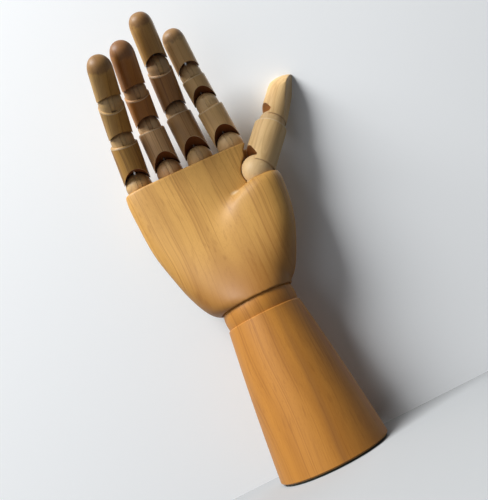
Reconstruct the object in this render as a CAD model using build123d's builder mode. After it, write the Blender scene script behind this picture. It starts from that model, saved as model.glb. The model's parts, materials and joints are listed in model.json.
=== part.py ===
"""A jointed wooden artist's hand, in millimetres.

The hand stands on the felt of its base at z = 0, with its palm towards -Y and its thumb towards +X.
Each finger is built in the pose of the photograph: bent towards the palm, and turned on its knuckle.
"""

import os
from math import cos, hypot, pi, radians, sin, sqrt, tan

from build123d import *

os.makedirs("parts", exist_ok=True)

# Fits and gaps, shared by every joint
PIN_PLAY = 0.05
PEG_PLAY = 0.05
SOCKET_GAP = 0.3
EDGE_EASE = 0.5

# Forearm: a turned stand with a domed neck
FELT_THICKNESS = 1.0
FELT_RADIUS = 30.4
BASE_RADIUS = 31.7
WAIST_HEIGHT = 38.0
WAIST_RADIUS = 28.0
SHOULDER_HEIGHT = 85.5
SHOULDER_RADIUS = 22.0
BASE_EASE = 0.8

# Wrist: a screw eye on a cross pin, in a slot of the neck's ball
WRIST_HEIGHT = 90.0
WRIST_BALL = 21.5
WRIST_PIN_RADIUS = 2.5
WRIST_PIN_INSET = 0.8
WRIST_EYE_RADIUS = 5.5
WRIST_EYE_THICKNESS = 6.0
WRIST_SLOT_WIDTH = 7.0
WRIST_SLOT_LENGTH = 23.0
WRIST_SLOT_DEPTH = 6.5
WRIST_SHANK_TOP = 134.0

# Palm sections from the wrist up: height, reach to -X, reach to +X, half depth, squareness of the outline.
# They run on past the palm's top, and stretch with it.
PALM_SECTIONS = [
    (95.0, 22.4, 22.2, 22.2, 2.0),
    (100.0, 27.8, 24.5, 20.7, 2.1),
    (106.0, 31.0, 27.0, 18.8, 2.2),
    (116.0, 34.8, 29.5, 16.2, 2.4),
    (128.0, 38.0, 31.5, 14.2, 2.6),
    (142.0, 41.2, 34.0, 13.0, 2.9),
    (155.0, 42.4, 36.0, 12.6, 3.4),
    (167.0, 42.7, 37.2, 12.5, 4.2),
    (179.0, 42.4, 37.6, 12.5, 5.0),
    (191.0, 42.0, 37.6, 12.5, 5.0),
]
PALM_TOP_HEIGHT = 180.0
PALM_OVERRUN = 11.0
PALM_TOP_TILT = 2.0
PALM_EDGE_EASE = 0.8

# Thumb lobe sections from the wrist up: height at the +X side, tilt, width, reach to +X, front, back.
# Each is highest at its crest, square towards the thumb and sloping away into the palm.
# They end just below the middle of the thumb's ball, and stretch with it.
LOBE_SECTIONS = [
    (97.0, 0.0, 31.0, 23.0, 12.0, 12.0),
    (106.0, 2.0, 42.0, 30.6, 14.5, 12.0),
    (116.0, 4.0, 50.0, 35.8, 16.6, 11.5),
    (126.0, 6.0, 56.0, 40.0, 17.6, 11.0),
    (138.0, 8.0, 60.0, 43.0, 18.2, 10.5),
    (149.0, 10.0, 57.0, 44.6, 18.6, 10.5),
    (155.6, 12.0, 48.0, 44.2, 17.8, 10.5),
    (158.4, 12.0, 41.0, 41.6, 15.8, 10.0),
]
LOBE_SEAT = 2.2
LOBE_CREST = 15.0
LOBE_SQUARENESS = 2.1
LOBE_SLOPE = 1.7
OUTLINE_POINTS = 24

# Knuckle row
KNUCKLE_PITCH = 19.6
KNUCKLE_CENTRE = -2.55
KNUCKLE_STAND = 5.5
KNUCKLE_BALL = 7.95
PEG_RADIUS = 3.5
PEG_DEPTH = 12.5

# Finger joints: a round tongue above, a slotted ball or tenon and a cross pin below
PROXIMAL_RADIUS = 8.1
MIDDLE_RADIUS = 7.2
DISTAL_RADIUS = 6.9
TENON_STEP = 0.35
SHOULDER_DROP = 2.6
SCOOP_MARGIN = 0.3
KNUCKLE_SCOOP_RISE = 24.0
FINGER_SCOOP_RISE = 20.0
FINGER_SCOOP_START = 0.0
SOCKET_LIP = 0.35
HINGE_RADIUS = 0.75
HINGE_INSET = 0.12
TONGUE_INSET = 0.12
TONGUE_THICKNESS = 2.3
TONGUE_PLAY = 0.18
SLOT_REACH = 0.6
STEM_RADIUS = 0.7
STEM_LENGTH = 12.0
TIP_DOME = 9.0
TIP_TAPER = 0.3
SEAM_TURN = 45.0
QUARTER_TURN = 90.0

# Fingers from the thumb side: place in the row, lean of the bore to +X, turn on the peg,
# bends of the three joints and lengths of the three bones
FINGERS = {
    "index": dict(place=1.5, lean=-3.6, turn=0.3, bends=(17.5, 0.0, 30.0), lengths=(27.2, 19.9, 28.2)),
    "middle": dict(place=0.5, lean=-1.1, turn=4.7, bends=(9.7, 42.6, 1.8), lengths=(31.5, 30.4, 31.2)),
    "ring": dict(place=-0.5, lean=-0.4, turn=7.2, bends=(20.2, 34.3, 18.7), lengths=(29.2, 24.4, 33.6)),
    "pinky": dict(place=-1.52, lean=2.4, turn=10.4, bends=(35.9, 29.0, 8.8), lengths=(29.5, 27.4, 30.3)),
}

# Thumb: its ball sits in the top of the lobe
THUMB_DROP = 19.4
THUMB_BALL_CENTRE = (33.2, -7.0, PALM_TOP_HEIGHT - THUMB_DROP)
THUMB_BALL = 9.6
THUMB_PEG_RADIUS = 4.0
THUMB_SPREAD = 41.0
THUMB_LEAN_BACK = 13.0
THUMB_TURN = -76.0
THUMB_PROXIMAL_RADIUS = 9.9
THUMB_DISTAL_RADIUS = 8.4
THUMB_PROXIMAL_LENGTH = 33.5
THUMB_DISTAL_LENGTH = 41.2
THUMB_SCOOP_RISE = 15.0
THUMB_SCOOP_START = 5.3
THUMB_TIP_DOME = 26.0
THUMB_TIP_ROUNDNESS = 0.55
THUMB_TIP_SHIFT = (-6.5, 6.7)
THUMB_TIP_BEND = 1.0
NAIL_TURN = 148.0
NAIL_SLOPE = 7.3
NAIL_OVERSHOOT = 23.4
THUMB_BEND = 8.5
THUMB_RELIEF = 0.6
THUMB_RELIEF_START = 8.0


def save(piece, name):
    """Labels a finished piece and writes it."""
    piece.part.label = name
    export_step(piece.part, f"parts/{name}.step")


def turned(plane, about_x=0, about_y=0, about_z=0):
    """A plane turned about one of its own axes."""
    return Plane(plane.location * Location((0, 0, 0), (about_x, about_y, about_z)))


def lengthwise(plane):
    """A plane through a piece's axis, with y along the piece and the seam clear of its hinge and slot."""
    askew = turned(plane, about_z=SEAM_TURN)
    return Plane(askew.origin, x_dir=askew.x_dir, z_dir=-askew.y_dir)


def crosswise(plane):
    """The plane square to a piece's hinge."""
    return Plane(plane.origin, x_dir=plane.y_dir, z_dir=plane.x_dir)


def cut_rod(plane, radius, length):
    """A round hole that starts at a plane and runs up its axis."""
    with Locations(plane):
        Cylinder(radius, length, align=(Align.CENTER, Align.CENTER, Align.MIN), mode=Mode.SUBTRACT)


def cut_hinge(plane, ball_radius):
    """The slot for a tongue and the hole for its cross pin, in the ball or tenon below a joint."""
    with Locations(crosswise(plane)):
        Cylinder(ball_radius + SLOT_REACH, TONGUE_THICKNESS + 2 * TONGUE_PLAY, mode=Mode.SUBTRACT)
        Cylinder(HINGE_RADIUS, 4 * ball_radius, mode=Mode.SUBTRACT)


def cut_socket(plane, radius, ball_radius, scoop_rise, scoop_start):
    """The cup over a ball, with a scoop towards the palm and a hole for the tongue's stem."""
    with Locations(turned(plane, about_z=SEAM_TURN)):
        Sphere(ball_radius + SOCKET_GAP, mode=Mode.SUBTRACT)
    scoop = turned(plane, about_x=QUARTER_TURN - scoop_rise).offset(scoop_start)
    cut_rod(scoop, radius + SCOOP_MARGIN, 2 * radius)
    cut_rod(plane, STEM_RADIUS, STEM_LENGTH)


def rim_height(radius, ball_radius):
    """How far above the hinge a cup's rim lies, so that its lip keeps some wood."""
    return sqrt(max((ball_radius + SOCKET_GAP) ** 2 - (radius - SOCKET_LIP) ** 2, 0))


def make_pin(name, plane, ball_radius):
    """A steel cross pin, just inside the ball or tenon that it is driven through."""
    with BuildPart() as pin:
        with Locations(crosswise(plane)):
            Cylinder(HINGE_RADIUS, 2 * (ball_radius - HINGE_INSET))
    save(pin, name)


def make_tongue(name, plane, ball_radius):
    """A round wooden tongue that turns in the slot below, with a stem up into the bone above."""
    with BuildPart() as tongue:
        with Locations(crosswise(plane)):
            Cylinder(ball_radius - TONGUE_INSET, TONGUE_THICKNESS)
        with Locations(plane):
            Cylinder(STEM_RADIUS, STEM_LENGTH, align=(Align.CENTER, Align.CENTER, Align.MIN))
        with Locations(crosswise(plane)):
            Cylinder(HINGE_RADIUS + PIN_PLAY, TONGUE_THICKNESS, mode=Mode.SUBTRACT)
    save(tongue, name)


def make_knuckle(name, plane, ball_radius, peg_radius):
    """A slotted ball on a peg."""
    with BuildPart() as knuckle:
        with Locations(turned(plane, about_z=SEAM_TURN)):
            Sphere(ball_radius)
            Cylinder(peg_radius, PEG_DEPTH, align=(Align.CENTER, Align.CENTER, Align.MAX))
        cut_hinge(plane, ball_radius)
    save(knuckle, name)


def make_bone(name, plane, radius, length, ball_radius, scoop_rise, scoop_start, tenon):
    """A turned bone with a cup below and a slotted, domed tenon above."""
    rim = rim_height(radius, ball_radius)
    shoulder = length - SHOULDER_DROP
    with BuildPart() as bone:
        with BuildSketch(lengthwise(plane)):
            with BuildLine():
                Polyline(
                    (0, length + tenon),
                    (0, rim),
                    (radius, rim),
                    (radius, shoulder - EDGE_EASE),
                    (radius - EDGE_EASE, shoulder),
                    (tenon, shoulder),
                    (tenon, length),
                )
                CenterArc((0, length), tenon, 0, QUARTER_TURN)
            make_face()
        revolve(axis=Axis(plane.origin, plane.z_dir))
        cut_socket(plane, radius, ball_radius, scoop_rise, scoop_start)
        cut_hinge(plane.offset(length), tenon)
    save(bone, name)


def make_tip(name, plane, length, tenon):
    """A finger's last bone, with a rounded end."""
    rim = rim_height(DISTAL_RADIUS, tenon)
    crown = (DISTAL_RADIUS - TIP_TAPER, length - TIP_DOME)
    with BuildPart() as tip:
        with BuildSketch(lengthwise(plane)):
            with BuildLine():
                Polyline((0, length), (0, rim), (DISTAL_RADIUS, rim), crown)
                Spline(crown, (0, length), tangents=((0, 1), (-1, 0)))
            make_face()
        revolve(axis=Axis(plane.origin, plane.z_dir))
        cut_socket(plane, DISTAL_RADIUS, tenon, FINGER_SCOOP_RISE, FINGER_SCOOP_START)
    save(tip, name)


def make_thumb_tip(plane, tenon):
    """The thumb's last bone: its pad is rounded off towards the back, and its nail is flat."""
    rim = rim_height(THUMB_DISTAL_RADIUS, tenon)
    rounding = Plane(plane.location * Location((*THUMB_TIP_SHIFT, 0)))
    reach = THUMB_DISTAL_RADIUS + hypot(*THUMB_TIP_SHIFT) + SCOOP_MARGIN
    crown = (reach, THUMB_DISTAL_LENGTH - THUMB_TIP_DOME)
    steep = (reach, THUMB_DISTAL_LENGTH - (1 - THUMB_TIP_ROUNDNESS) * THUMB_TIP_DOME)
    level = (THUMB_TIP_ROUNDNESS * reach, THUMB_DISTAL_LENGTH)
    nail = turned(plane.offset(THUMB_DISTAL_LENGTH + NAIL_OVERSHOOT), about_z=NAIL_TURN)
    with BuildPart() as tip:
        with Locations(turned(plane, about_z=SEAM_TURN).offset(rim)):
            Cylinder(THUMB_DISTAL_RADIUS, THUMB_DISTAL_LENGTH, align=(Align.CENTER, Align.CENTER, Align.MIN))
        with BuildSketch(lengthwise(rounding)):
            with BuildLine():
                Polyline((0, THUMB_DISTAL_LENGTH), (0, 0), (reach, 0), crown)
                Bezier(crown, steep, level, (0, THUMB_DISTAL_LENGTH))
            make_face()
        revolve(axis=Axis(rounding.origin, rounding.z_dir), mode=Mode.INTERSECT)
        cut_socket(plane, THUMB_DISTAL_RADIUS, tenon, THUMB_SCOOP_RISE, THUMB_SCOOP_START)
        split(bisect_by=turned(nail, about_x=QUARTER_TURN - NAIL_SLOPE), keep=Keep.BOTTOM)
    save(tip, "thumb_distal")


def knuckle_plane(finger):
    """Where a finger's ball is: z along its bore, x along its hinge."""
    lean = radians(finger["lean"])
    across = finger["place"] * KNUCKLE_PITCH
    height = PALM_TOP_HEIGHT + KNUCKLE_STAND - across * tan(radians(PALM_TOP_TILT))
    bore = Plane(
        (KNUCKLE_CENTRE + across, 0, height),
        x_dir=(cos(lean), 0, -sin(lean)),
        z_dir=(sin(lean), 0, cos(lean)),
    )
    return turned(bore, about_z=finger["turn"])


def thumb_plane():
    """Where the thumb's ball is: z along its bore, x along its hinge."""
    spread = radians(THUMB_SPREAD)
    back = radians(THUMB_LEAN_BACK)
    along = Vector(sin(spread) * cos(back), sin(back), cos(spread) * cos(back))
    aside = along.cross(Vector(0, -1, 0)).normalized()
    return turned(Plane(THUMB_BALL_CENTRE, x_dir=aside, z_dir=along), about_z=THUMB_TURN)


def outline(left, crest, right, front, back, left_squareness, right_squareness):
    """Points round a section that stands out most at its crest: an oval at squareness 2, squarer above."""
    points = []
    for step in range(OUTLINE_POINTS):
        angle = 2 * pi * step / OUTLINE_POINTS
        towards_right = cos(angle) > 0
        power = 2 / (right_squareness if towards_right else left_squareness)
        side = right if towards_right else left
        x = crest + (side - crest) * abs(cos(angle)) ** power
        swell = abs(sin(angle)) ** power * (1 if sin(angle) > 0 else -1)
        y = (back - front) / 2 + swell * (back + front) / 2
        points.append((x, y))
    return points


def make_forearm():
    """The stand, turned in one piece with the neck's ball, and slotted for the wrist's eye."""
    neck = sqrt(WRIST_BALL**2 - (WRIST_HEIGHT - SHOULDER_HEIGHT) ** 2)
    wrist = Plane.XY.offset(WRIST_HEIGHT)
    with BuildPart() as forearm:
        with BuildSketch(Plane.XZ):
            with BuildLine():
                Polyline(
                    (0, WRIST_HEIGHT + WRIST_BALL),
                    (0, FELT_THICKNESS),
                    (BASE_RADIUS - BASE_EASE, FELT_THICKNESS),
                    (BASE_RADIUS, FELT_THICKNESS + BASE_EASE),
                )
                ThreePointArc(
                    (BASE_RADIUS, FELT_THICKNESS + BASE_EASE),
                    (WAIST_RADIUS, WAIST_HEIGHT),
                    (SHOULDER_RADIUS, SHOULDER_HEIGHT - EDGE_EASE),
                )
                Polyline(
                    (SHOULDER_RADIUS, SHOULDER_HEIGHT - EDGE_EASE),
                    (SHOULDER_RADIUS - EDGE_EASE, SHOULDER_HEIGHT),
                    (neck, SHOULDER_HEIGHT),
                )
                ThreePointArc(
                    (neck, SHOULDER_HEIGHT),
                    (WRIST_BALL * cos(pi / 4), WRIST_HEIGHT + WRIST_BALL * sin(pi / 4)),
                    (0, WRIST_HEIGHT + WRIST_BALL),
                )
            make_face()
        revolve(axis=Axis.Z)
        with Locations(wrist.offset(-WRIST_SLOT_DEPTH)):
            Box(
                WRIST_SLOT_WIDTH,
                WRIST_SLOT_LENGTH,
                2 * WRIST_BALL,
                align=(Align.CENTER, Align.CENTER, Align.MIN),
                mode=Mode.SUBTRACT,
            )
        with Locations(crosswise(wrist)):
            Cylinder(WRIST_PIN_RADIUS, 2 * BASE_RADIUS, mode=Mode.SUBTRACT)
    save(forearm, "forearm")


def make_felt():
    """The felt under the stand."""
    with BuildPart() as felt:
        Cylinder(FELT_RADIUS, FELT_THICKNESS, align=(Align.CENTER, Align.CENTER, Align.MIN))
    save(felt, "base_felt")


def make_wrist():
    """The wrist's cross pin, and the screw eye that the palm turns on."""
    wrist = Plane.XY.offset(WRIST_HEIGHT)
    with BuildPart() as pin:
        with Locations(crosswise(wrist)):
            Cylinder(WRIST_PIN_RADIUS, 2 * (WRIST_BALL - WRIST_PIN_INSET))
    save(pin, "wrist_pin")
    with BuildPart() as eye:
        with Locations(crosswise(wrist)):
            Cylinder(WRIST_EYE_RADIUS, WRIST_EYE_THICKNESS)
        with Locations(wrist):
            Cylinder(
                WRIST_PIN_RADIUS,
                WRIST_SHANK_TOP - WRIST_HEIGHT,
                align=(Align.CENTER, Align.CENTER, Align.MIN),
            )
        with Locations(crosswise(wrist)):
            Cylinder(WRIST_PIN_RADIUS + PIN_PLAY, WRIST_EYE_THICKNESS, mode=Mode.SUBTRACT)
    save(eye, "wrist_eye")


def stretched(sections, top):
    """Sections with their heights stretched from the first one's, so that the last one is at the top."""
    foot = sections[0][0]
    stretch = (top - foot) / (sections[-1][0] - foot)
    return [(foot + (height - foot) * stretch, *sizes) for height, *sizes in sections]


def make_palm():
    """The carved palm and its thumb lobe, with the wrist's cup and the knuckles' seats."""
    top = turned(Plane.XY.offset(PALM_TOP_HEIGHT), about_y=PALM_TOP_TILT)
    seats = [(knuckle_plane(finger), KNUCKLE_BALL, PEG_RADIUS) for finger in FINGERS.values()]
    seats.append((thumb_plane(), THUMB_BALL, THUMB_PEG_RADIUS))
    shank = WRIST_SHANK_TOP - WRIST_HEIGHT + SOCKET_GAP
    lobe_top = THUMB_BALL_CENTRE[2] - LOBE_SEAT
    with BuildPart() as palm:
        for height, left, right, depth, square in stretched(PALM_SECTIONS, PALM_TOP_HEIGHT + PALM_OVERRUN):
            middle = (right - left) / 2
            with BuildSketch(Plane.XY.offset(height)):
                with BuildLine():
                    Spline(*outline(-left, middle, right, depth, depth, square, square), periodic=True)
                make_face()
        loft()
        split(bisect_by=top, keep=Keep.BOTTOM)
        fillet(palm.faces().sort_by(Axis.Z)[-1].edges(), PALM_EDGE_EASE)
        for height, tilt, width, right, front, back in stretched(LOBE_SECTIONS, lobe_top):
            points = outline(-width, -LOBE_CREST, 0, front, back, LOBE_SLOPE, LOBE_SQUARENESS)
            with BuildSketch(turned(Plane((right, 0, height)), about_y=-tilt)):
                with BuildLine():
                    Spline(*points, periodic=True)
                make_face()
        loft()
        with Locations((0, 0, WRIST_HEIGHT)):
            Sphere(WRIST_BALL + SOCKET_GAP, mode=Mode.SUBTRACT)
        cut_rod(Plane.XY.offset(WRIST_HEIGHT), WRIST_PIN_RADIUS + PEG_PLAY, shank)
        for plane, ball, peg in seats:
            with Locations(turned(plane, about_z=SEAM_TURN)):
                Sphere(ball + SOCKET_GAP, mode=Mode.SUBTRACT)
                Cylinder(
                    peg + PEG_PLAY,
                    PEG_DEPTH + SOCKET_GAP,
                    align=(Align.CENTER, Align.CENTER, Align.MAX),
                    mode=Mode.SUBTRACT,
                )
        for bend, start in ((0, 0), (THUMB_BEND, THUMB_RELIEF_START)):
            path = turned(thumb_plane(), about_x=bend).offset(start)
            cut_rod(path, THUMB_PROXIMAL_RADIUS + THUMB_RELIEF, THUMB_PROXIMAL_LENGTH)
    save(palm, "palm")


def make_finger(name, finger):
    """One finger from its knuckle to its tip."""
    knuckle = knuckle_plane(finger)
    reach = finger["lengths"]
    bend = finger["bends"]
    proximal = turned(knuckle, about_x=bend[0])
    middle = turned(proximal.offset(reach[0]), about_x=bend[1])
    distal = turned(middle.offset(reach[1]), about_x=bend[2])
    proximal_tenon = MIDDLE_RADIUS - TENON_STEP
    middle_tenon = DISTAL_RADIUS - TENON_STEP
    make_knuckle(f"{name}_knuckle", knuckle, KNUCKLE_BALL, PEG_RADIUS)
    make_pin(f"{name}_knuckle_pin", knuckle, KNUCKLE_BALL)
    make_bone(
        f"{name}_proximal",
        proximal,
        PROXIMAL_RADIUS,
        reach[0],
        KNUCKLE_BALL,
        KNUCKLE_SCOOP_RISE,
        FINGER_SCOOP_START,
        proximal_tenon,
    )
    make_tongue(f"{name}_proximal_tongue", proximal, KNUCKLE_BALL)
    make_pin(f"{name}_proximal_pin", proximal.offset(reach[0]), proximal_tenon)
    make_bone(
        f"{name}_middle",
        middle,
        MIDDLE_RADIUS,
        reach[1],
        proximal_tenon,
        FINGER_SCOOP_RISE,
        FINGER_SCOOP_START,
        middle_tenon,
    )
    make_tongue(f"{name}_middle_tongue", middle, proximal_tenon)
    make_pin(f"{name}_middle_pin", middle.offset(reach[1]), middle_tenon)
    make_tip(f"{name}_distal", distal, reach[2], middle_tenon)
    make_tongue(f"{name}_distal_tongue", distal, middle_tenon)


def make_thumb():
    """The thumb: two bones and a flat nail."""
    proximal = thumb_plane()
    distal = turned(proximal.offset(THUMB_PROXIMAL_LENGTH), about_x=THUMB_TIP_BEND)
    tenon = THUMB_DISTAL_RADIUS - TENON_STEP
    make_knuckle("thumb_knuckle", proximal, THUMB_BALL, THUMB_PEG_RADIUS)
    make_pin("thumb_knuckle_pin", proximal, THUMB_BALL)
    make_bone(
        "thumb_proximal",
        proximal,
        THUMB_PROXIMAL_RADIUS,
        THUMB_PROXIMAL_LENGTH,
        THUMB_BALL,
        THUMB_SCOOP_RISE,
        THUMB_SCOOP_START,
        tenon,
    )
    make_tongue("thumb_proximal_tongue", proximal, THUMB_BALL)
    make_pin("thumb_proximal_pin", proximal.offset(THUMB_PROXIMAL_LENGTH), tenon)
    make_thumb_tip(distal, tenon)
    make_tongue("thumb_distal_tongue", distal, tenon)


make_forearm()
make_felt()
make_wrist()
make_palm()
for finger_name, finger_sizes in FINGERS.items():
    make_finger(finger_name, finger_sizes)
make_thumb()
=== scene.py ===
"""Looks for the jointed wooden hand: grained wood that runs along each bone, sockets painted dark as shade,
steel pins, a felt foot, and a pale stage lit softly from the upper left of the picture."""

import json
import math

import bmesh
import bpy
from mathutils import Matrix, Vector

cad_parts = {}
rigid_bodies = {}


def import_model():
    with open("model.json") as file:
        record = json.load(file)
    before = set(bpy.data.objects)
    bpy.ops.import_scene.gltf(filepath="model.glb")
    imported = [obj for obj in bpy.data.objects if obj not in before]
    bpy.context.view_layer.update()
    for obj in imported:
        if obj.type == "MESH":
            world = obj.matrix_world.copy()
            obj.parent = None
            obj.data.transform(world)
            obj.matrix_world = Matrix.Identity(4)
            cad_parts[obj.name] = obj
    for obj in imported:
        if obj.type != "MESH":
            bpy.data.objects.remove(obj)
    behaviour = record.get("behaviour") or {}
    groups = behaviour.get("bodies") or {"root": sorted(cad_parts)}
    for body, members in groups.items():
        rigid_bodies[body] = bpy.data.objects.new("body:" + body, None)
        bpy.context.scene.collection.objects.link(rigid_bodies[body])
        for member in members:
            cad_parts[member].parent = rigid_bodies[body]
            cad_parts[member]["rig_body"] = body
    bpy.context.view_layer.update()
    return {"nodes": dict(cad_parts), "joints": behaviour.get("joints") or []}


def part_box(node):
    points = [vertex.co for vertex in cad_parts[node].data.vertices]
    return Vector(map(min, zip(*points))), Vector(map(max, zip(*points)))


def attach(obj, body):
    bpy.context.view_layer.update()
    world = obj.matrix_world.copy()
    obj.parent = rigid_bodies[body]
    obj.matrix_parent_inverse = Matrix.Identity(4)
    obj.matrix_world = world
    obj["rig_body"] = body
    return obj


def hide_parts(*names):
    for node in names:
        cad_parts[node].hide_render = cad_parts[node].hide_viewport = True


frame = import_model()

MILLIMETRE = 0.001

# Camera, from the photograph's outlines, in metres
CAMERA_PLACE = Vector((0.0, -0.34376, 0.05623))
PICTURE_RIGHT = Vector((0.89546, 0.07045, -0.43953))
PICTURE_UP = Vector((0.44479, -0.18114, 0.87713))
SENSOR_WIDTH = 36.0
LENS = 45.0
NEAREST_SEEN = 0.01

# Stage, in metres: the backdrop leans on the back of the hand, as the table does in the photograph.
# The floor lies flatter to the key, so it is painted darker to look the same.
BACKDROP_FOOT = 0.0322
BACKDROP_LEAN = 0.106
STAGE_REACH = 1.2
BACKDROP_COLOUR = "f6f9fb"
FLOOR_COLOUR = "b5b8ba"
STAGE_BOUNCE = "484a4e"
STAGE_ROUGHNESS = 0.8
STAGE_SHINE = 0.1

# Lamps, in metres and watts: places are to the right, up and out of the picture, from the middle of the hand
HAND_MIDDLE = Vector((0.0, 0.0, 0.13))
KEY_PLACE = (-1.5, 0.98, 0.63)
KEY_SIZE = 1.0
KEY_POWER = 62.0
FILL_PLACE = (-0.8, -0.4, 1.0)
FILL_SIZE = 1.0
FILL_POWER = 3.2
BACK_PLACE = (0.3, 0.8, -1.0)
BACK_SIZE = 0.8
BACK_POWER = 4.0
WORLD_STRENGTH = 0.07
BACKGROUND_STRENGTH = 0.8

# Woods: pale and dark grain, where in the grain a piece is cut from, and how strong its bands and
# streaks are. A bone that has no wood of its own takes its finger's.
# The bones' tones were matched one by one, so besides the wood's own differences they hold painted light and
# shade: darker on bones that stand in shade, paler on the lit thumb.
WOODS = {
    "forearm": dict(pale="b87c30", dark="8a531a", seed=0.0, bands=0.35, streaks=0.4),
    "palm": dict(pale="d09e52", dark="946228", seed=90.0, bands=0.3, streaks=0.42),
    "index": dict(pale="e0ba80", dark="ae824c", seed=180.0, bands=0.5, streaks=0.6),
    "middle": dict(pale="c29856", dark="875c2a", seed=260.0, bands=0.5, streaks=0.7),
    "middle_middle": dict(pale="986c3c", dark="5f3d18", seed=280.0, bands=0.5, streaks=0.7),
    "middle_proximal": dict(pale="b8905e", dark="7c552e", seed=300.0, bands=0.5, streaks=0.7),
    "ring": dict(pale="ae7638", dark="6f3d10", seed=340.0, bands=0.5, streaks=0.7),
    "ring_proximal": dict(pale="d8ae7c", dark="9c7044", seed=380.0, bands=0.5, streaks=0.65),
    "pinky": dict(pale="ba904c", dark="7a5420", seed=420.0, bands=0.5, streaks=0.7),
    "pinky_proximal": dict(pale="ae823e", dark="6c4818", seed=460.0, bands=0.5, streaks=0.7),
    "thumb": dict(pale="ecc88e", dark="bd9158", seed=500.0, bands=0.4, streaks=0.5),
}

# Grain: each layer's noise, and where in that noise it starts to darken the wood and where it is darkest.
# Grain is drawn out along a piece, and the threads are also drawn through it from front to back.
BAND_NOISE, BAND_EDGES = dict(Scale=0.1, Detail=2.0), (0.35, 0.7)
LINE_NOISE, LINE_EDGES = dict(Scale=0.55, Detail=3.0, Roughness=0.6), (0.52, 0.75)
THREAD_NOISE, THREAD_EDGES = dict(Scale=0.9, Detail=3.0), (0.54, 0.68)
FIBRE_NOISE, FIBRE_EDGES = dict(Scale=3.5, Detail=3.0, Roughness=0.6), (0.45, 0.8)
FIBRE_SHARE = 0.3
GRAIN_DRAW = (1.0, 1.0, 0.008)
THREAD_DRAW = (1.0, 0.06, 0.004)
SWAY_DRAW = (0.012, 0.012, 0.016)
SWAY_REACH = (9.0, 9.0, 0.0)

# Lacquer
WOOD_ROUGHNESS = (0.4, 0.58)
WOOD_SHINE = 0.35
WOOD_COAT = 0.05
WOOD_COAT_ROUGHNESS = 0.35
FIBRE_BUMP = 0.1
FIBRE_DEPTH = 0.2 * MILLIMETRE

# Carving: the step of a carved piece's skin in metres, and how many passes of smoothing it gets
PALM_STEP = 0.0008
PALM_PASSES = 300
TIP_STEP = 0.0005
TIP_PASSES = 60

# Where the lobe is eased into the palm, in millimetres: from nothing to all, and from all to nothing.
# The short crease at the lobe's top is kept: from where across the palm, and from what height along it.
EASE_ACROSS = (-24.0, -8.0, 16.0, 27.0)
EASE_DEPTH = (2.0, 8.0, 40.0, 50.0)
EASE_HEIGHT = (98.0, 108.0, 155.0, 163.0)
CREASE_ACROSS = (6.0, 15.0)
CREASE_HEIGHT = (141.0, 148.0)
CREASE_END = 13.0
CREASE_SLOPE = 0.31

# Where the thumb's tip is eased, in millimetres along it. Up to the splice it is the solid itself.
TIP_SPLICE = 13.0
TIP_EASE = (14.0, 20.0)
NAIL_SIDE = 1.5
SHARP_ANGLE = math.radians(30.0)

# Bones, in millimetres: how far from its joint a tongue's stem ends, and how far up a socket's scoop goes.
# The shoulder, where a bone's shaft meets its ball, is where the shaft last has this share of its radius.
STEM_END = 11.0
SCOOP_REACH = 17.0
SHOULDER_SHARE = 0.985
# A scoop's faces that look towards the joint get painted shade for their hollow, partly darker cut wood.
SCOOP_SHADE_FACING = (-0.1, -0.2)
# A painted highlight along a scoop's rim and along a shoulder's eased edge, where these edges catch the
# light.
RIM_HIGHLIGHT_WIDTH = (0.6, 0.25)
RIM_HIGHLIGHT_SHARE = 0.6
RING_HIGHLIGHT_WIDTH = (0.8, 0.3)
RING_HIGHLIGHT_EDGE = 0.1
RING_HIGHLIGHT_SHARE = 0.5
BALL_EDGE = 0.6
BALL_SHARE = 0.35
TIP_EDGE = (2.8, 0.8)
TIP_RAGGED = 6.0
TIP_PATCH = dict(Scale=0.25, Detail=2.0)
TIP_SHARE = 0.65
THUMB_TIP_SHARE = 0.3
# Painted shade in the scoops: darker on the fingers, lighter on the thumb, whose scoops face the light.
SCOOP_SHADE_COLOUR = "6b3c1a"
THUMB_SCOOP_SHADE_COLOUR = "b88350"
# The painted highlights' colour, also used for the pale spot on the palm.
PAINTED_HIGHLIGHT_COLOUR = "f0dcb8"
BALL_COLOUR = "d9bd92"
END_GRAIN_COLOUR = "6e4a2a"

# Marks on the palm and stand, in millimetres: knots as centre, size and depth of colour
KNOTS = (((-28.0, 0.0, 109.0), 2.0, 0.45), ((-25.5, 0.0, 104.5), 1.2, 0.35))
KNOT_DRAW = (1.0, 0.0, 0.35)
KNOT_CORE = 0.2
KNOT_COLOUR = "7a4e26"
FRONT_DEPTH = (0.0, -4.0)
# A pale spot at the top of the lobe: a painted highlight, partly wear.
PALE_SPOT_CENTRE = (16.0, 0.0, 153.4)
PALE_SPOT_DRAW = (0.5, 0.0, 1.0)
PALE_SPOT_EDGE = (1.8, 0.3)
PALE_SPOT_SHARE = 0.5
# Painted shade towards the wrist, where the heel turns down away from the light, partly darker wood.
WRIST_SHADE_HEIGHT = (140.0, 96.0)
WRIST_SHADE_SHARE = 0.75
WRIST_SHADE_COLOUR = "8c581c"
STREAK_CENTRE = (10.0, -28.0, 0.0)
STREAK_DRAW = (1.0, 0.12, 0.0)
STREAK_EDGE = (3.2, 0.4)
STREAK_SHARE = 0.4
STREAK_COLOUR = "8a5a2b"

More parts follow.
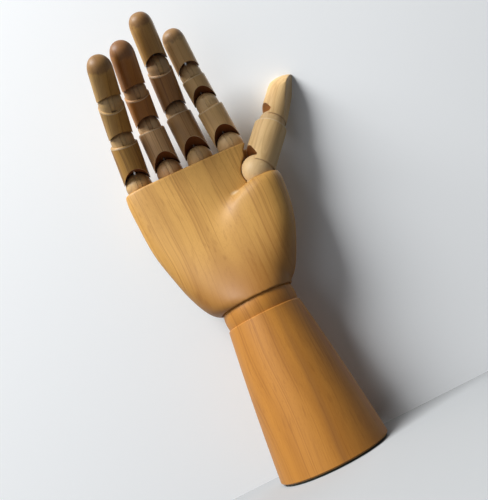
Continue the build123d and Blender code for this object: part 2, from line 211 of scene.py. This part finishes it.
# Metal and felt. Two stems glint as steel, and the others are painted dark as shade in their scoops.
GLINTING = ("pinky_proximal_tongue", "index_distal_tongue")
STEM_EDGE = 0.1
STEEL_COLOUR = "c9cbcc"
SCUFF_COLOUR = "8d8f90"
SCUFF_NOISE = dict(Scale=900.0, Detail=3.0)
STEEL_ROUGHNESS = (0.25, 0.45)
STEM_SHADE_COLOUR = "3a2818"
PLUG_LENGTH = 1.0
PLUG_EDGE = 0.1
FELT_COLOURS = ("10150f", "2a3427")
FELT_NOISE = dict(Scale=1600.0, Detail=4.0)
FELT_ROUGHNESS = 0.95
FELT_SHEEN = 0.3
FELT_BUMP = 0.5
FELT_DEPTH = 0.3 * MILLIMETRE


def colour(code):
    """A colour from its six-figure code, as linear light."""
    parts = [int(code[i : i + 2], 16) / 255 for i in (0, 2, 4)]
    return (*[p / 12.92 if p <= 0.04045 else ((p + 0.055) / 1.055) ** 2.4 for p in parts], 1.0)


class Shader:
    """A material or world under construction: its nodes, and short ways to add and join them."""

    def __init__(self, name, owner=None):
        self.material = owner or bpy.data.materials.new(name)
        self.material.use_nodes = True
        self.tree = self.material.node_tree
        self.surface = self.tree.nodes.get("Principled BSDF")

    def add(self, kind, settings=None, **inputs):
        """A node with its settings, and its inputs joined to sockets or set to values."""
        made = self.tree.nodes.new("ShaderNode" + kind)
        for key, value in (settings or {}).items():
            setattr(made, key, value)
        for key, value in inputs.items():
            self.put(made.inputs[key.replace("_", " ")], value)
        return made

    def put(self, socket, value):
        """Joins a socket to another one, or sets it to a value."""
        if isinstance(value, bpy.types.NodeSocket):
            self.tree.links.new(value, socket)
        else:
            socket.default_value = value

    def set_surface(self, **inputs):
        """Joins or sets inputs of the surface."""
        for key, value in inputs.items():
            self.put(self.surface.inputs[key.replace("_", " ")], value)

    def math(self, operation, first, second):
        made = self.add("Math", dict(operation=operation))
        self.put(made.inputs[0], first)
        self.put(made.inputs[1], second)
        return made.outputs[0]

    def noise(self, place, settings):
        return self.add("TexNoise", Vector=place, **settings).outputs["Fac"]

    def between(self, value, low, high):
        """0 below low, 1 above high, smooth between; with low above high it falls instead."""
        made = self.add("MapRange", dict(interpolation_type="SMOOTHSTEP"), Value=value)
        made.inputs["From Min"].default_value = low
        made.inputs["From Max"].default_value = high
        return made.outputs["Result"]

    def ranged(self, value, low, high):
        """A value from 0 to 1 spread from low to high."""
        made = self.add("MapRange", Value=value)
        made.inputs["To Min"].default_value = low
        made.inputs["To Max"].default_value = high
        return made.outputs["Result"]

    def both(self, *shares):
        """Where all of the shares hold."""
        held = shares[0]
        for share in shares[1:]:
            held = self.math("MULTIPLY", held, share)
        return held

    def blend(self, share, first, second):
        """Two colours mixed by a share."""
        made = self.add("Mix", dict(data_type="RGBA"))
        self.put(made.inputs[0], share)
        self.put(made.inputs[6], first)
        self.put(made.inputs[7], second)
        return made.outputs[2]

    def local(self, home):
        """A piece's own coordinates, in millimetres."""
        spot = self.add("TexCoord").outputs["Object"]
        made = self.add("Mapping", dict(vector_type="TEXTURE"), Vector=spot)
        made.inputs["Location"].default_value = home.to_translation()
        made.inputs["Rotation"].default_value = home.to_euler()
        made.inputs["Scale"].default_value = (MILLIMETRE,) * 3
        return made.outputs[0]

    def axis(self, place, name):
        return self.add("SeparateXYZ", Vector=place).outputs[name]

    def spot(self, place, centre, scale):
        """How far a place is from a centre, with each axis scaled first."""
        made = self.add("Mapping", Vector=place)
        made.inputs["Scale"].default_value = scale
        made.inputs["Location"].default_value = [-c * s for c, s in zip(centre, scale)]
        return self.add("VectorMath", dict(operation="LENGTH"), Vector=made.outputs[0]).outputs["Value"]

    def vector(self, operation, first, second):
        made = self.add("VectorMath", dict(operation=operation))
        self.put(made.inputs[0], first)
        self.put(made.inputs[1], second)
        return made.outputs


def joint_of(body):
    """The joint that carries a body."""
    return next(joint for joint in frame["joints"] if joint["child"] == body)


def bone_of(node):
    """The bone that a tongue is fixed to, or the piece itself."""
    return node.removesuffix("_tongue")


def grain_frame(node):
    """Where a piece's grain starts and the way it runs: up the stand and palm, and along each bone."""
    if node in ("forearm", "palm"):
        return Matrix.Identity(4)
    joint = joint_of(frame["nodes"][node]["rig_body"])
    place = Vector(joint["pos_m"])
    if node.endswith("_knuckle"):
        along = Vector(joint["axis"])
        across = along.orthogonal()
    else:
        reaches = [v.co - place for v in frame["nodes"][bone_of(node) + "_tongue"].data.vertices]
        along = sum((r for r in reaches if r.length > STEM_END * MILLIMETRE), Vector())
        across = Vector(joint["axis"])
    along.normalize()
    across = (across - across.project(along)).normalized()
    turn = Matrix((across, along.cross(across), along)).transposed()
    return Matrix.Translation(place) @ turn.to_4x4()


def local_points(node, home):
    """A piece's vertices in its own coordinates, in millimetres."""
    back = home.inverted()
    return [back @ v.co / MILLIMETRE for v in frame["nodes"][node].data.vertices]


def bone_measures(node, home):
    """A bone's radius by its scoop, and how far along it its shoulder and its end are, in millimetres."""
    points = local_points(node, home)
    radius = max(p.xy.length for p in points if p.z < SCOOP_REACH)
    shoulder = max(p.z for p in points if p.xy.length > SHOULDER_SHARE * radius)
    return radius, shoulder, max(p.z for p in points)


def mark_scoop_shade(make, tone, local, node, home, radius):
    """Painted shade on the faces that look towards the joint, partly darker cut wood, with a painted
    highlight along the rim.
    """
    sources = make.add("TexCoord").outputs
    outward = make.vector("SUBTRACT", sources["Object"], home.to_translation())["Vector"]
    straight = make.add("VectorMath", dict(operation="NORMALIZE"), Vector=outward).outputs["Vector"]
    facing = make.vector("DOT_PRODUCT", straight, sources["Normal"])["Value"]
    # Painted shade on the faces that look towards the joint, partly darker cut wood.
    scoop_shade = make.between(facing, *SCOOP_SHADE_FACING)
    dark = THUMB_SCOOP_SHADE_COLOUR if node.startswith("thumb") else SCOOP_SHADE_COLOUR
    tone = make.blend(scoop_shade, tone, colour(dark))
    # A painted highlight along the scoop's rim.
    reach = make.spot(local, (0.0, 0.0, 0.0), (1.0, 1.0, 0.0))
    edge = make.between(reach, *[radius - width for width in RIM_HIGHLIGHT_WIDTH])
    return make.blend(make.both(scoop_shade, edge, RIM_HIGHLIGHT_SHARE), tone, colour(PAINTED_HIGHLIGHT_COLOUR))


def mark_bone(make, tone, local, node, home):
    """Painted shade in the scoop, painted highlights along the scoop's rim and the shoulder's eased edge,
    paler ball and darker end grain, each by its place on the bone.
    """
    radius, shoulder, end = bone_measures(node, home)
    tone = mark_scoop_shade(make, tone, local, node, home, radius)
    height = make.axis(local, "Z")
    if node.endswith("_distal"):
        patch = make.math("MULTIPLY", make.noise(local, TIP_PATCH), TIP_RAGGED)
        tip = make.between(make.math("ADD", height, patch), *[end - edge for edge in TIP_EDGE])
        share = THUMB_TIP_SHARE if node.startswith("thumb") else TIP_SHARE
        return make.blend(make.both(tip, share), tone, colour(END_GRAIN_COLOUR))
    ball = make.between(height, shoulder, shoulder + BALL_EDGE)
    tone = make.blend(make.both(ball, BALL_SHARE), tone, colour(BALL_COLOUR))
    # A painted highlight along the shoulder's eased edge.
    below = make.between(height, *[shoulder - width for width in RING_HIGHLIGHT_WIDTH])
    above = make.between(height, shoulder + RING_HIGHLIGHT_EDGE, shoulder - RING_HIGHLIGHT_EDGE)
    return make.blend(make.both(below, above, RING_HIGHLIGHT_SHARE), tone, colour(PAINTED_HIGHLIGHT_COLOUR))


def mark_palm(make, tone, local):
    """Two small knots low on the little finger's side, a pale spot at the top of the lobe that is a painted
    highlight and partly wear, and painted shade towards the wrist that is partly darker wood."""
    front = make.between(make.axis(local, "Y"), *FRONT_DEPTH)
    for centre, size, depth in KNOTS:
        away = make.spot(local, centre, KNOT_DRAW)
        knot = make.both(front, make.between(away, size, KNOT_CORE * size), depth)
        tone = make.blend(knot, tone, colour(KNOT_COLOUR))
    # A painted highlight at the top of the lobe, partly wear.
    pale_spot = make.between(make.spot(local, PALE_SPOT_CENTRE, PALE_SPOT_DRAW), *PALE_SPOT_EDGE)
    tone = make.blend(make.both(front, pale_spot, PALE_SPOT_SHARE), tone, colour(PAINTED_HIGHLIGHT_COLOUR))
    # Painted shade towards the wrist, partly darker wood.
    low = make.between(make.axis(local, "Z"), *WRIST_SHADE_HEIGHT)
    return make.blend(make.both(low, WRIST_SHADE_SHARE), tone, colour(WRIST_SHADE_COLOUR))


def mark_forearm(make, tone, grain):
    """One dark streak up the front of the stand, towards the thumb's side."""
    streak = make.between(make.spot(grain, STREAK_CENTRE, STREAK_DRAW), *STREAK_EDGE)
    return make.blend(make.both(streak, STREAK_SHARE), tone, colour(STREAK_COLOUR))


def mark_tongue(make, tone, local, node, home):
    """A tongue paler than its bone, on a stem that is steel where it glints and elsewhere painted dark as
    shade.
    """
    tone = make.blend(BALL_SHARE, tone, colour(BALL_COLOUR))
    disc = max(abs(p.y) for p in local_points(node, home))
    stem = make.between(make.axis(local, "Z"), disc, disc + STEM_EDGE)
    if node in GLINTING:
        make.set_surface(Metallic=stem)
        return make.blend(stem, tone, colour(STEEL_COLOUR))
    # Painted shade: the other stems are dark and not metal, as they sit in the scoop's shade.
    return make.blend(stem, tone, colour(STEM_SHADE_COLOUR))


def wood(name, node, pale, dark, seed, bands, streaks):
    """Satin lacquered wood with its grain along one piece."""
    make = Shader(name)
    home = grain_frame(node)
    local = make.local(home)
    cut = (seed, 0.0, 0.0)
    slow = make.add("Mapping", Vector=local, Location=cut, Scale=SWAY_DRAW).outputs[0]
    wander = make.add("TexNoise", Vector=slow, Scale=1.0, Detail=1.0)
    bend = make.add("VectorMath", dict(operation="MULTIPLY_ADD"))
    make.put(bend.inputs[0], wander.outputs["Color"])
    bend.inputs[1].default_value = SWAY_REACH
    make.put(bend.inputs[2], local)
    sway = bend.outputs[0]
    grain = make.add("Mapping", Vector=sway, Location=cut, Scale=GRAIN_DRAW).outputs[0]
    flat = make.add("Mapping", Vector=sway, Location=cut, Scale=THREAD_DRAW).outputs[0]

    fibres = make.noise(grain, FIBRE_NOISE)
    layers = (
        (make.noise(grain, BAND_NOISE), BAND_EDGES, bands),
        (make.noise(grain, LINE_NOISE), LINE_EDGES, streaks),
        (make.noise(flat, THREAD_NOISE), THREAD_EDGES, streaks),
        (fibres, FIBRE_EDGES, FIBRE_SHARE),
    )
    tone = colour(pale)
    for layer, edges, share in layers:
        tone = make.blend(make.both(make.between(layer, *edges), share), tone, colour(dark))

    if node == "palm":
        tone = mark_palm(make, tone, local)
    elif node == "forearm":
        tone = mark_forearm(make, tone, sway)
    elif node.endswith("_knuckle"):
        tone = make.blend(BALL_SHARE, tone, colour(BALL_COLOUR))
    elif node.endswith("_tongue"):
        tone = mark_tongue(make, tone, local, node, home)
    else:
        tone = mark_bone(make, tone, local, node, home)

    bump = make.add("Bump", Strength=FIBRE_BUMP, Distance=FIBRE_DEPTH, Height=fibres)
    make.set_surface(Base_Color=tone, Roughness=make.ranged(fibres, *WOOD_ROUGHNESS), Normal=bump.outputs[0])
    make.set_surface(Specular_IOR_Level=WOOD_SHINE, Coat_Weight=WOOD_COAT, Coat_Roughness=WOOD_COAT_ROUGHNESS)
    return make.material


def steel():
    """Drawn wire, a little dull."""
    make = Shader("steel")
    scuff = make.noise(make.add("TexCoord").outputs["Object"], SCUFF_NOISE)
    tone = make.blend(scuff, colour(SCUFF_COLOUR), colour(STEEL_COLOUR))
    make.set_surface(Base_Color=tone, Roughness=make.ranged(scuff, *STEEL_ROUGHNESS), Metallic=1.0)
    return make.material


def plugged_steel(name, node, pale):
    """A steel cross pin whose ends are covered by wood filler, flush with the ball."""
    make = Shader(name)
    low, high = (Vector(corner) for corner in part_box(node))
    centre = (low + high) / 2
    length = max((v.co - centre).length for v in frame["nodes"][node].data.vertices)
    spot = make.add("TexCoord").outputs["Object"]
    away = make.vector("DISTANCE", spot, centre)["Value"]
    start = length - PLUG_LENGTH * MILLIMETRE
    plug = make.between(away, start, start + PLUG_EDGE * MILLIMETRE)
    mottle = make.noise(spot, SCUFF_NOISE)
    filler = make.blend(mottle, colour(pale), colour(BALL_COLOUR))
    tone = make.blend(plug, colour(STEEL_COLOUR), filler)
    make.set_surface(Base_Color=tone, Roughness=mottle, Metallic=make.math("SUBTRACT", 1.0, plug))
    return make.material


def felt():
    """Dark green felt with a short nap."""
    make = Shader("felt")
    nap = make.noise(make.add("TexCoord").outputs["Object"], FELT_NOISE)
    bump = make.add("Bump", Strength=FELT_BUMP, Distance=FELT_DEPTH, Height=nap)
    tone = make.blend(nap, *[colour(code) for code in FELT_COLOURS])
    make.set_surface(Base_Color=tone, Normal=bump.outputs[0])
    make.set_surface(Roughness=FELT_ROUGHNESS, Sheen_Weight=FELT_SHEEN)
    return make.material


def dress(node, material):
    """Gives a piece its material in place of the plain one."""
    slots = frame["nodes"][node].data.materials
    slots.clear()
    slots.append(material)


def dress_hand():
    metal = steel()
    cloth = felt()
    for node in frame["nodes"]:
        owner = node.split("_")[0]
        if node.startswith("wrist"):
            dress(node, metal)
        elif node == "base_felt":
            dress(node, cloth)
        elif node.endswith("_pin"):
            dress(node, plugged_steel(node + "_steel", node, WOODS[owner]["pale"]))
        else:
            dress(node, wood(node + "_wood", node, **WOODS.get(bone_of(node), WOODS[owner])))


def part_way(value, low, full):
    """0 at low, 1 at full, smooth between."""
    share = min(max((value - low) / (full - low), 0.0), 1.0)
    return share * share * (3.0 - 2.0 * share)


def palm_ease(place, home):
    """How much smoothing a point of the palm gets: all of it where the lobe meets the palm."""
    across, depth, height = home.inverted() @ place / MILLIMETRE
    along_crease = height - CREASE_SLOPE * (across - CREASE_END)
    weight = 1.0 - part_way(across, *CREASE_ACROSS) * part_way(along_crease, *CREASE_HEIGHT)
    spans = ((across, EASE_ACROSS), (-depth, EASE_DEPTH), (height, EASE_HEIGHT))
    for value, (low, full, fade, high) in spans:
        weight *= part_way(value, low, full) * part_way(value, high, fade)
    return weight


def tip_ease(place, home):
    """How much smoothing a point of the thumb's tip gets: all of it on the pad, none by the nail."""
    spot = home.inverted() @ place / MILLIMETRE
    on_axis = home @ Vector((0.0, 0.0, spot.z * MILLIMETRE))
    aside = (place - on_axis).dot(PICTURE_RIGHT) / MILLIMETRE
    return part_way(spot.z, *TIP_EASE) * part_way(aside, NAIL_SIDE, -NAIL_SIDE)


def finished(piece):
    """A piece's mesh with its modifiers worked in."""
    view = bpy.context.evaluated_depsgraph_get()
    view.update()
    mesh = bpy.data.meshes.new_from_object(piece.evaluated_get(view))
    piece.modifiers.clear()
    return mesh


def splice(solid, skin, place, along):
    """Makes the skin's mesh the solid's up to a plane, and leaves it as it is beyond."""
    whole = bmesh.new()
    for mesh, way in ((solid.copy(), along), (skin, -along)):
        half = bmesh.new()
        half.from_mesh(mesh)
        cut = half.verts[:] + half.edges[:] + half.faces[:]
        bmesh.ops.bisect_plane(half, geom=cut, plane_co=place, plane_no=way, clear_outer=True)
        half.to_mesh(mesh)
        whole.from_mesh(mesh)
        half.free()
    whole.to_mesh(skin)
    whole.free()
    skin.set_sharp_from_angle(angle=SHARP_ANGLE)


def carve(node, step, passes, weigh, splice_height=None):
    """A piece as one close skin over its solid, smoothed as the weights say. With a splice's height,
    the solid's own faces are kept up to there."""
    solid = frame["nodes"][node]
    home = grain_frame(node)
    piece = bpy.data.objects.new(node + "_carved", solid.data.copy())
    bpy.context.scene.collection.objects.link(piece)
    skin = piece.modifiers.new("skin", "REMESH")
    skin.mode = "VOXEL"
    skin.voxel_size = step
    piece.data = finished(piece)
    group = piece.vertex_groups.new(name="ease")
    for vertex in piece.data.vertices:
        group.add([vertex.index], weigh(vertex.co, home), "REPLACE")
    cling = piece.modifiers.new("cling", "SHRINKWRAP")
    cling.target = solid
    ease = piece.modifiers.new("ease", "SMOOTH")
    ease.vertex_group = "ease"
    ease.iterations = passes
    piece.data = finished(piece)
    piece.vertex_groups.clear()
    if splice_height:
        along = home.to_3x3() @ Vector((0.0, 0.0, 1.0))
        place = home.to_translation() + along * splice_height * MILLIMETRE
        splice(solid.data, piece.data, place, along)
    piece.data.polygons.foreach_set("use_smooth", [True] * len(piece.data.polygons))
    piece.data.materials.clear()
    piece.data.materials.append(solid.data.materials[0])
    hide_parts(node)
    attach(piece, solid["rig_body"])


def seen_directly(make):
    """1 where a surface is seen, also in metal or through glass, and 0 where it only throws light."""
    path = make.add("LightPath").outputs
    seen = make.math("MAXIMUM", path["Is Camera Ray"], path["Is Glossy Ray"])
    return make.math("MAXIMUM", seen, path["Is Transmission Ray"])


def stage_material(name, code):
    """Pale matte paint that throws little light back at the hand. It is seen from its front only,
    and lets lamps behind it reach the hand."""
    make = Shader(name)
    tone = make.blend(seen_directly(make), colour(STAGE_BOUNCE), colour(code))
    make.set_surface(Base_Color=tone, Roughness=STAGE_ROUGHNESS, Specular_IOR_Level=STAGE_SHINE)
    behind = make.add("NewGeometry").outputs["Backfacing"]
    shadow = make.add("LightPath").outputs["Is Shadow Ray"]
    mixed = make.add("MixShader")
    make.put(mixed.inputs[0], make.math("MAXIMUM", behind, shadow))
    make.put(mixed.inputs[1], make.surface.outputs[0])
    make.put(mixed.inputs[2], make.add("BsdfTransparent").outputs[0])
    make.put(make.tree.nodes["Material Output"].inputs["Surface"], mixed.outputs[0])
    return make.material


def add_sheet(name, corners, code):
    """A flat stage piece through its corners, seen from the side where they run anticlockwise."""
    mesh = bpy.data.meshes.new(name)
    mesh.from_pydata(corners, [], [tuple(range(len(corners)))])
    mesh.materials.append(stage_material(name + "_paint", code))
    made = bpy.data.objects.new(name, mesh)
    bpy.context.scene.collection.objects.link(made)


def build_stage():
    left, right = -STAGE_REACH, STAGE_REACH
    near, far, top = -STAGE_REACH, STAGE_REACH, STAGE_REACH
    foot = BACKDROP_FOOT
    head = BACKDROP_FOOT - BACKDROP_LEAN * top
    floor = [(left, near, 0), (right, near, 0), (right, far, 0), (left, far, 0)]
    backdrop = [(left, foot, 0), (right, foot, 0), (right, head, top), (left, head, top)]
    add_sheet("floor", floor, FLOOR_COLOUR)
    add_sheet("backdrop", backdrop, BACKDROP_COLOUR)


def add_lamp(name, place, size, power):
    """A square lamp, aimed at the middle of the hand."""
    out_of_picture = PICTURE_RIGHT.cross(PICTURE_UP)
    right, up, out = place
    data = bpy.data.lights.new(name, "AREA")
    data.size = size
    data.energy = power
    lamp = bpy.data.objects.new(name, data)
    away = PICTURE_RIGHT * right + PICTURE_UP * up + out_of_picture * out
    lamp.location = HAND_MIDDLE + away
    lamp.rotation_euler = away.to_track_quat("Z", "Y").to_euler()
    bpy.context.scene.collection.objects.link(lamp)


def light():
    """Three lamps, and a white world that is bright where it is seen and dim where it only throws light."""
    add_lamp("key", KEY_PLACE, KEY_SIZE, KEY_POWER)
    add_lamp("fill", FILL_PLACE, FILL_SIZE, FILL_POWER)
    add_lamp("back", BACK_PLACE, BACK_SIZE, BACK_POWER)
    world = bpy.data.worlds.new("studio")
    make = Shader("sky", world)
    sky = make.tree.nodes["Background"]
    sky.inputs["Color"].default_value = (1.0, 1.0, 1.0, 1.0)
    strength = make.ranged(seen_directly(make), WORLD_STRENGTH, BACKGROUND_STRENGTH)
    make.put(sky.inputs["Strength"], strength)
    bpy.context.scene.world = world


def place_camera():
    data = bpy.data.cameras.new("camera")
    data.sensor_fit = "HORIZONTAL"
    data.sensor_width = SENSOR_WIDTH
    data.lens = LENS
    data.clip_start = NEAREST_SEEN
    camera = bpy.data.objects.new("camera", data)
    backwards = PICTURE_RIGHT.cross(PICTURE_UP)
    turn = Matrix((PICTURE_RIGHT, PICTURE_UP, backwards)).transposed()
    camera.matrix_world = Matrix.Translation(CAMERA_PLACE) @ turn.to_4x4()
    bpy.context.scene.collection.objects.link(camera)
    bpy.context.scene.camera = camera


place_camera()
dress_hand()
carve("palm", PALM_STEP, PALM_PASSES, palm_ease)
carve("thumb_distal", TIP_STEP, TIP_PASSES, tip_ease, TIP_SPLICE)
build_stage()
light()
bpy.context.scene.view_settings.view_transform = "Standard"
